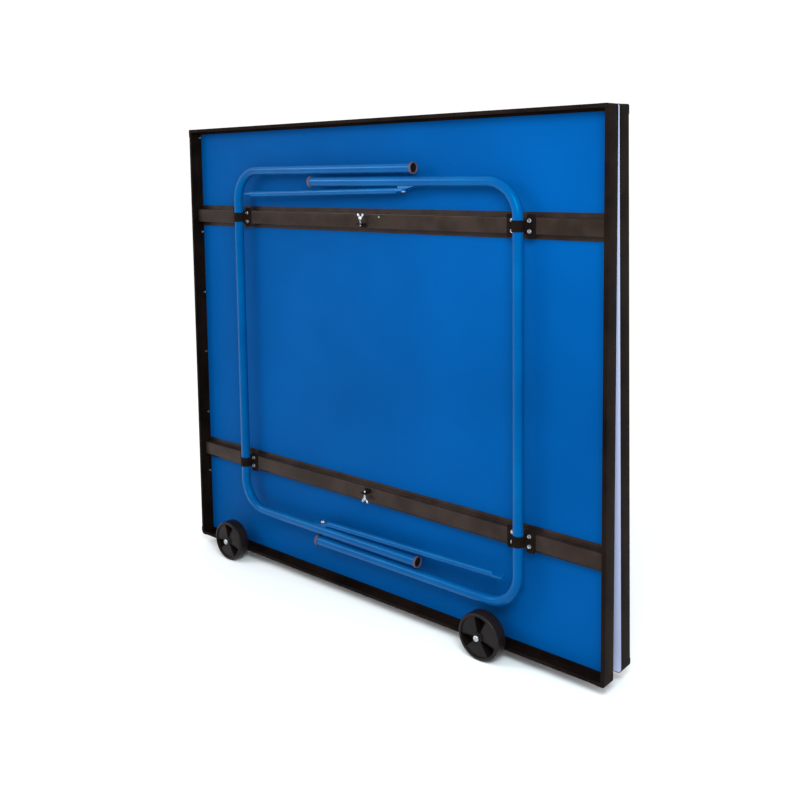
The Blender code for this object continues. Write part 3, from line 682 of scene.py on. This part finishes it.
legLook = {"wall": 0.0015, "bend": 0.090, "bendSteps": 20, "steps": 36}
lugLook = {"foot": 0.015, "slope": 0.045, "flare": 0.003, "width": 0.018, "gap": 0.0003,
           "round": (0.002, 0.001), "weld": 0.0011,
           "topShare": 0.72, "weldShare": 0.86}       # of the tube's radius, below its axis
capLook = {"steps": 40, "clearance": 0.0004, "rim": 0.0022, "rimDegrees": 150, "rimSteps": 12,
           "recess": 0.003, "face": 0.00462, "dimple": (0.004, 0.0003), "middle": 0.0005,
           "plug": 0.0045,
           "neck": ((0.0018, 0.008), (0.0012, 0.0072), (0.0008, 0.00484), (0, 0.00352))}
discLook = {"gap": 0.0001, "edge": 0.0004, "dent": (0.35, 0.3), "rise": (0.0002, 0.0004, 0.0008)}
braceLook = {"width": 0.018, "flat": 0.006, "flatLength": 0.017, "taper": 0.010, "steps": 28,
             "notchRadius": 0.0040, "tail": 0.0185, "ringAt": 0.050, "ringWidth": 0.003,
             "endSteps": 60, "notchSteps": 16, "taperRings": 14, "overlap": 0.001,
             "bevel": 0.0005}
pivotBoltLook = {"steps": 24, "shank": ((0.0036, 0.011), (0.0038, 0.0105)), "seat": 0.0003,
                 "head": 0.0075, "headHeight": 0.004, "domeDegrees": 62, "domeSteps": 8,
                 "socket": 0.0022, "socketDepth": 0.0019}


def turnAbout(points, axis, angle):
    # Rodrigues: the part along the axis stays, the rest turns in its plane
    axis = np.asarray(axis, float) / np.linalg.norm(axis)
    points = np.asarray(points, float)
    along = np.outer(points @ axis, axis).reshape(points.shape)
    return along + (points - along) * math.cos(angle) + np.cross(axis, points) * math.sin(angle)


def braceAxes(side, letter):
    # From the two hinges and the CAD brace: its eye, its own axes, and the way its open end
    # travels just before it meets the wing bolt.
    leg, brace = joints[f"{side}_leg_{letter}_fold"], joints[f"{side}_brace_{letter}_swing"]
    eye = inHalf(brace["pos_m"], letter)
    spots = inHalf(vertices(f"{side}_brace", letter), letter) - eye
    distance = np.linalg.norm(spots, axis=1)
    length = distance.max() - braceLook["width"] / 2
    ring = spots[np.abs(distance - length + braceLook["ringAt"]) < braceLook["ringWidth"]]
    along = ring.mean(0) / np.linalg.norm(ring.mean(0))         # through the end of the taper
    legAxis = halves[letter]["axes"] @ leg["axis"]
    axis = halves[letter]["axes"] @ brace["axis"]
    toArm = -1 if side == "left" else 1
    up = axis * np.sign(axis[2]) * toArm
    pivot = inHalf(leg["pos_m"], letter)
    fold, swing = math.radians(leg["range_deg"][1]), math.radians(brace["range_deg"][1])

    def openEnd(share):
        onLeg = eye + turnAbout(along * length, axis, swing * share)
        return pivot + turnAbout(onLeg - pivot, legAxis, fold * share)

    way = turnAbout(turnAbout(openEnd(1) - openEnd(0.99), legAxis, -fold), axis, -swing)
    across = np.cross(up, along)
    return {"eye": eye, "basis": (along, across, up), "length": length,
            "notch": math.atan2(way @ across, way @ along)}


def braceEnd(notch=None):
    # Flattened end as an outline about the hole's place. Its edge is the rounded tip in front
    # and the straight sides behind; the notch runs out of it at the given angle.
    look = braceLook
    half, tail = look["width"] / 2, look["tail"]
    corner = math.atan2(half, -tail)
    if notch is None:
        angle = np.sort(np.append(np.linspace(-np.pi, np.pi, look["endSteps"]), (corner, -corner)))
    else:
        gapAngle = math.asin(look["notchRadius"] / half)
        angle = np.linspace(notch + gapAngle, notch + 2 * np.pi - gapAngle, look["endSteps"])
        corners = np.mod(np.array((corner, -corner)) - notch, 2 * np.pi) + notch
        angle = np.sort(np.append(angle, corners))
    back = np.cos(angle) < 0
    side = half / np.maximum(np.abs(np.sin(angle)), 1e-6)
    rear = tail / np.maximum(np.abs(np.cos(angle)), 1e-6)
    edge = np.where(back, np.minimum(side, rear), half)
    outline = onCircle(angle, edge)
    if notch is not None:
        inner = np.linspace(notch - np.pi / 2, notch - 3 * np.pi / 2, look["notchSteps"])
        outline = np.concatenate([outline, onCircle(inner, look["notchRadius"])])
    apart = np.linalg.norm(outline - np.roll(outline, -1, 0), axis=1) > 1e-5
    return outline[apart]


def braceTube(length):
    # Tube whose ends are pressed flat: each ring is a super-ellipse, whose power goes from 2
    # (round) to 8 (nearly a rectangle) as its height falls to the flat's.
    look = braceLook
    half, flat = look["width"] / 2, look["flat"] / 2
    start, taper = look["flatLength"] - look["overlap"], look["taper"]
    share = np.linspace(0, 1, look["taperRings"])
    ease = share * share * (3 - 2 * share)
    x = np.concatenate([start + share * taper, (length - start - share * taper)[::-1]])
    ease = np.concatenate([ease, ease[::-1]])[:, None]
    angle = fullTurn(look["steps"])
    power = 2 / (8 - 6 * ease)
    cosine, sine = np.cos(angle), np.sin(angle)
    wide = half * np.sign(cosine) * np.abs(cosine) ** power
    high = (flat + ease * (half - flat)) * np.sign(sine) * np.abs(sine) ** power
    return loft(np.stack([np.broadcast_to(x[:, None], wide.shape), wide, high], -1))


def addBrace(letter, side, axes):
    eye, basis, flat = axes["eye"], axes["basis"], braceLook["flat"] / 2
    eyeEnd = prism(braceEnd() * (-1, 1), -flat, flat)
    openEnd = prism(braceEnd(axes["notch"]), -flat, flat)
    solids = [laid(braceTube(axes["length"]), eye, *basis), laid(eyeEnd, eye, *basis),
              laid(openEnd, eye + basis[0] * axes["length"], *basis)]
    addPiece(f"{side.title()}Brace", letter, solids, tubeBlue, f"{side}_brace",
             f"{side}_brace_{letter}", braceLook["bevel"])


def addPivotBolt(letter, side, axes):
    # Button head with a hexagon socket, below the brace's eye
    look = pivotBoltLook
    angle = fullTurn(look["steps"])
    socket = look["socket"] / np.cos(np.mod(angle, np.pi / 3) - np.pi / 6)
    seat = -braceLook["flat"] / 2 - look["seat"]
    stations = [*look["shank"], (look["shank"][-1][0], seat)]
    for turn in np.radians(np.linspace(0, look["domeDegrees"], look["domeSteps"])):
        top = seat - look["headHeight"] * math.sin(turn)
        stations.append((look["head"] * math.cos(turn), top))
    stations += [(socket, top), (socket, top + look["socketDepth"])]
    addPiece(f"{side.title()}PivotBolt", letter,
             [laid(ringsAt(stations, angle), axes["eye"], *axes["basis"])], zinc,
             f"{side}_pivot_bolt", f"{side}_leg_{letter}")


def legPath(pivot, foot, low, high):
    # (x, z) along the U: lower arm, bend, pivot tube, bend, upper arm
    bend = legLook["bend"]
    way = math.copysign(1, foot - pivot)
    turn = np.linspace(-np.pi / 2, -np.pi, legLook["bendSteps"])
    lower = np.column_stack([pivot + way * bend * (1 + np.cos(turn)),
                             low + bend * (1 + np.sin(turn))])
    upper = lower[::-1] * (1, -1) + (0, low + high)
    return np.concatenate([[(foot, low)], lower, upper, [(foot, high)]])


def lugSolids(axes, gap):
    # Lug from the brace's eye up to the arm's tube, and a weld along each of its sides
    look = lugLook
    along, across, up = axes["basis"]
    start, width = look["foot"], look["width"] / 2
    end = -start - look["slope"]
    bottom = braceLook["flat"] / 2 + look["gap"]
    top = gap - tube["radius"] * look["topShare"]
    seam = gap - tube["radius"] * look["weldShare"]
    low, high = look["round"]
    outline = rounded([(-start, bottom, low), (start, bottom, low),
                       (start + look["flare"], top, high), (end, top, high)])
    solids = [laid(prism(outline, -width, width), axes["eye"], along, up, across)]
    for edge in (-width, width):
        line = [axes["eye"] + along * x + across * edge + up * seam
                for x in (end + look["flare"], start)]
        solids.append(bead(*line, look["weld"]))
    return solids


def addLeg(letter, side, sign):
    low, high = reach(f"{side}_leg", letter)
    radius = tube["radius"]
    pivot, foot = (high[0] - radius, low[0]) if sign > 0 else (low[0] + radius, high[0])
    arms = (low[2] + radius, high[2] - radius)
    path = legPath(pivot, foot, *arms)
    outer, inner = (tubeRings(path, tube["depth"], size, legLook["steps"])
                    for size in (radius, radius - legLook["wall"]))
    axes = braceAxes(side, letter)
    arm = arms[0] if side == "left" else arms[1]
    solids = [loft(np.concatenate([outer, inner[::-1]]), closed=True),
              *lugSolids(axes, abs(arm - axes["eye"][2]))]
    addPiece(f"{side.title()}Leg", letter, solids, tubeBlue, f"{side}_leg",
             f"{side}_leg_{letter}")
    addBrace(letter, side, axes)
    addPivotBolt(letter, side, axes)


def capProfile(outside, end):
    # (radius, height): a flared neck on the tube, a round rim, and a recessed face with a dimple.
    # The neck's points are counted inwards from the outside and back from the end.
    look = capLook
    rim, floor, middle = look["rim"], end - look["recess"], look["middle"]
    dimple, sink = look["dimple"]
    inside, plug = tube["radius"] + look["clearance"], end - look["plug"]
    neck = [(outside - inwards, end - back) for inwards, back in look["neck"]]
    bulge = [(outside - rim + rim * math.cos(turn), end - rim + rim * math.sin(turn))
             for turn in np.radians(np.linspace(0, look["rimDegrees"], look["rimSteps"]))]
    return [(inside, neck[0][1]), *neck, *bulge, (outside - look["face"], floor), (dimple, floor),
            (middle, floor + sink), (middle, plug), (inside, plug)]


def discProfile(outside, end):
    # (radius, height): a thin disc in the cap's recess, dented in its middle. It is black: the
    # cap's black insert, and also painted shade in the recess.
    look, middle, floor = discLook, capLook["middle"], end - capLook["recess"]
    disc = outside - capLook["face"] - look["gap"]
    foot, dent, face = (floor + rise for rise in look["rise"])
    wide, narrow = (disc * share for share in look["dent"])
    return [(middle, foot), (disc, foot), (disc - look["edge"], face), (wide, face),
            (narrow, dent), (middle, dent)]


def addFootCaps(letter, side, sign):
    for name in ("lower", "upper"):
        node = f"{side}_foot_{name}"
        low, high = reach(node, letter)
        middle = (low + high) / 2
        outside, end = (high[2] - low[2]) / 2, high[0] - low[0]
        place = (low[0] if sign < 0 else high[0], middle[1], middle[2])
        # grey rim lightened as painted light, black disc in the recess as painted shade
        for kind, profile, material, stoodFor in (("Cap", capProfile, capRimLitGrey, node),
                                                  ("Disc", discProfile, blackPlasticAndPaintedShade, None)):
            solid = laid(turned(profile(outside, end), capLook["steps"], closed=True), place,
                         zWay, -sign * yWay, -sign * xWay)
            addPiece(f"{side.title()}Foot{kind}{name.title()}", letter, [solid], material,
                     stoodFor, f"{side}_leg_{letter}")


# wheels and their mounts

wheelLook = {"steps": 72, "rim": 0.009, "hub": 0.013, "bore": 0.0054, "dish": 0.0035,
             "faceSheet": 0.0025, "floor": (0.006, 0.0085), "wedgeStart": 83, "wedgeHalf": 21,
             "wedges": 3, "wedgeSteps": 30, "rib": 0.0016, "ribProud": 0.0009, "edge": 0.0075,
             "join": 0.001, "cutEdge": 0.0003, "floorEdge": 0.0002, "lip": (0.0025, 0.0012),
             "rimRound": (0.001, 0.0005, 0.0008), "hubRound": (0.0005, 0.001, 0.0015)}
mountLook = {"sheet": 0.003, "corner": 0.016, "bend": 0.0045, "innerBend": 0.0012,
             "cutEdge": 0.0006, "knee": 0.014, "fromWheel": 0.003, "screwInset": (0.008, 0.010)}
axleLook = {"radius": 0.005, "steps": 40, "dome": 0.0085, "domeRise": 0.6, "domeDegrees": 86,
            "domeSteps": 14, "collar": 0.005, "gap": 0.001, "edge": 0.0006,
            "head": ((0.0008, -0.0065), (0.0075, -0.0065), (0.008, -0.006), (0.008, -0.0035),
                     (0.005, -0.0032))}


def wheelSolids(radius, width):
    # Solids round the third axis, from the inner side at 0 out to the wheel's face: tread and
    # hub, a floor right round, and face sheet and ribs between the open wedges
    look = wheelLook
    cut, join, (low, high) = look["cutEdge"], look["join"], look["floor"]
    edge, inner, hub = look["edge"], radius - look["rim"], look["hub"]
    slope, sink = look["lip"]
    outer, small, inside = look["rimRound"]
    rim = rounded([(inner, join, outer), (radius, 0, edge / 2), (radius, width, edge),
                   (inner + slope, width, outer), (inner + sink, width - sink, small),
                   (inner, width - sink, inside)], 6)
    bore, back, front = look["hubRound"]
    core = rounded([(look["bore"], 0, bore), (hub, 0, back), (hub, width, front),
                    (look["bore"], width, bore)], 4)
    floor = roundedBox(hub - join, low, inner + join, high, look["floorEdge"], 2)
    solids = [turned(p, look["steps"], closed=True) for p in (rim, core, floor)]
    face = width - look["dish"]
    sheet = roundedBox(hub - join, face - look["faceSheet"], inner + join, face, cut, 2)
    rib = roundedBox(hub - 2 * join, high - join, inner + join, face + look["ribProud"], cut, 2)
    step, wedge = 360 / look["wedges"], 2 * look["wedgeHalf"]
    for i in range(look["wedges"]):
        start = look["wedgeStart"] + step * i + look["wedgeHalf"]
        turn = np.radians(np.linspace(start, start + step - wedge, look["wedgeSteps"]))
        rings = np.stack([np.outer(np.cos(turn), sheet[:, 0]), np.outer(np.sin(turn), sheet[:, 0]),
                          np.repeat(sheet[:, 1][None], len(turn), 0)], -1)
        solids.append(loft(rings))
        for angle in (turn[0], turn[-1]):
            along = (math.cos(angle), math.sin(angle), 0)
            solids.append(laid(prism(rib, -look["rib"] / 2, look["rib"] / 2), (0, 0, 0), along,
                               zWay, (-along[1], along[0], 0)))
    return solids


def mountSolids(x, low, high, wheelBack):
    # An L of thick sheet, its upright rounded at the top, its foot under the apron
    look = mountLook
    sheet, knee, cut = look["sheet"], look["knee"], look["cutEdge"]
    across, front = (high[0] - low[0]) / 2, wheelBack + look["fromWheel"]
    under, foot, top, back = low[2], high[1], high[2], front + sheet
    angle = rounded([(front, under, look["bend"]), (foot, under, cut), (foot, under + sheet, cut),
                     (back, under + sheet, look["innerBend"]), (back, knee, 0),
                     (front, knee, 0)], 5)
    plate = rounded([(-across, knee, 0), (across, knee, 0), (across, top, look["corner"]),
                     (-across, top, look["corner"])], 10)
    return [laid(prism(angle, -across, across), (x, 0, 0), yWay, zWay, xWay),
            laid(prism(plate, front, back), (x, 0, 0), xWay, zWay, yWay)]


def axleProfile(width):
    # (radius, height): head behind the mount, shank through the wheel, collar and domed end
    look = axleLook
    end, dome = width + look["gap"], look["dome"]
    curve = np.radians(np.linspace(0, look["domeDegrees"], look["domeSteps"]))
    cap = np.column_stack([dome * np.cos(curve),
                           end + look["collar"] + dome * look["domeRise"] * np.sin(curve)])
    return np.concatenate([[*look["head"], (look["radius"], end), (dome - look["edge"], end),
                            (dome, end + look["edge"])], cap])


def addWheel(letter, side):
    low, high = reach(f"wheel_{side}", letter)
    x, z = (low[0] + high[0]) / 2, (low[2] + high[2]) / 2
    radius, width = (high[2] - low[2]) / 2, high[1] - low[1]
    spot = ((x, high[1], z), xWay, zWay, -yWay)
    addPiece(f"Wheel{side.title()}", letter,
             [laid(solid, *spot) for solid in wheelSolids(radius, width)], wheelPlastic,
             f"wheel_{side}", f"{side}_wheel_{letter}")
    mount = f"wheel_mount_{side}"
    mountLow, mountHigh = reach(mount, letter)
    addPiece(f"WheelMount{side.title()}", letter, mountSolids(x, mountLow, mountHigh, high[1]),
             frameBlack, mount)
    axle = laid(turned(axleProfile(width), axleLook["steps"]), *spot)
    addPiece(f"Axle{side.title()}", letter, [axle], zinc)
    across, back = mountLook["screwInset"]
    out = (mountHigh[0] - mountLow[0]) / 2 - across
    return [(x + way * out, mountHigh[1] - back, mountLow[2]) for way in (-1, 1)]


flangeScrews = {"inward": 0.0095, "heights": (0.215, 0.42, 0.628, 0.83, 1.033, 1.345),
                "scale": 0.8}
mountScrewScale = 1.1

for letter in halves:
    addEdgeFrame(letter)
    addCorners(letter)
    addBoard(letter)
    addRails(letter)
    addSaddles(letter)
    addCatches(letter)
    under = []
    for side, sign in sides.items():
        addLeg(letter, side, sign)
        addFootCaps(letter, side, sign)
        under += addWheel(letter, side)
    spots = [(x * (long / 2 - flangeScrews["inward"]), flangeFront, z) for x in (-1, 1)
             for z in flangeScrews["heights"]]
    addPiece("BoardScrews", letter, screwsAt(spots, -yWay, flangeScrews["scale"]), zinc)
    addPiece("MountScrews", letter, screwsAt(under, -zWay, mountScrewScale), zinc)
    print("half", letter, "built")


# floor, light and camera

def addFloor():
    material = newMaterial("paleStudioFloor", {
        "Base Color": linear("#fafafa"), "Roughness": 0.9, "Specular IOR Level": 0.05})[0]
    size = 30.0
    mesh = bpy.data.meshes.new("floor")
    mesh.from_pydata([(-size, -size, 0), (size, -size, 0), (size, size, 0), (-size, size, 0)], [],
                     [(0, 1, 2, 3)])
    mesh.materials.append(material)
    newObject("floor", mesh)


lights = {
    "keyLeftAbove": {"place": (-2.9, -2.9, 2.7), "target": (0.1, 0, 0.7), "size": 1.3,
                     "watts": 58, "colour": "#ffffff"},
    "fillRight": {"place": (1.5, -1.3, 1.9), "target": (0.65, 0, 1.2), "size": 0.9,
                  "watts": 44, "colour": "#e4f9ff"}}
worldStrength = 1.06


def addLight(name, look):
    light = bpy.data.lights.new(name, "AREA")
    light.shape = "RECTANGLE"
    light.size = light.size_y = look["size"]
    light.energy = look["watts"]
    light.color = linear(look["colour"])[:3]
    lamp = newObject(name, light)
    lamp.location = look["place"]
    way = np.array(look["target"], float) - look["place"]
    lamp.rotation_euler = (math.atan2(math.hypot(way[0], way[1]), -way[2]), 0,
                           math.atan2(-way[0], way[1]))


addFloor()
for name, look in lights.items():
    addLight(name, look)

world = bpy.data.worlds.new("studioWhite")
world.use_nodes = True
world.node_tree.nodes["Background"].inputs["Color"].default_value = linear("#ffffff")
world.node_tree.nodes["Background"].inputs["Strength"].default_value = worldStrength
bpy.context.scene.world = world
bpy.context.scene.view_settings.view_transform = "Standard"

cameraLook = {"place": (1.821, -2.009, 1.281), "degrees": (83.989, 1.383, 42.288),
              "lens": 43.21, "shift": (0.0384, -0.1715)}
camera = bpy.data.cameras.new("camera")
camera.lens = cameraLook["lens"]
camera.sensor_width = 36
camera.shift_x, camera.shift_y = cameraLook["shift"]
eye = newObject("camera", camera)
eye.location = cameraLook["place"]
eye.rotation_euler = [math.radians(a) for a in cameraLook["degrees"]]
bpy.context.scene.camera = eye
print("light and camera set")
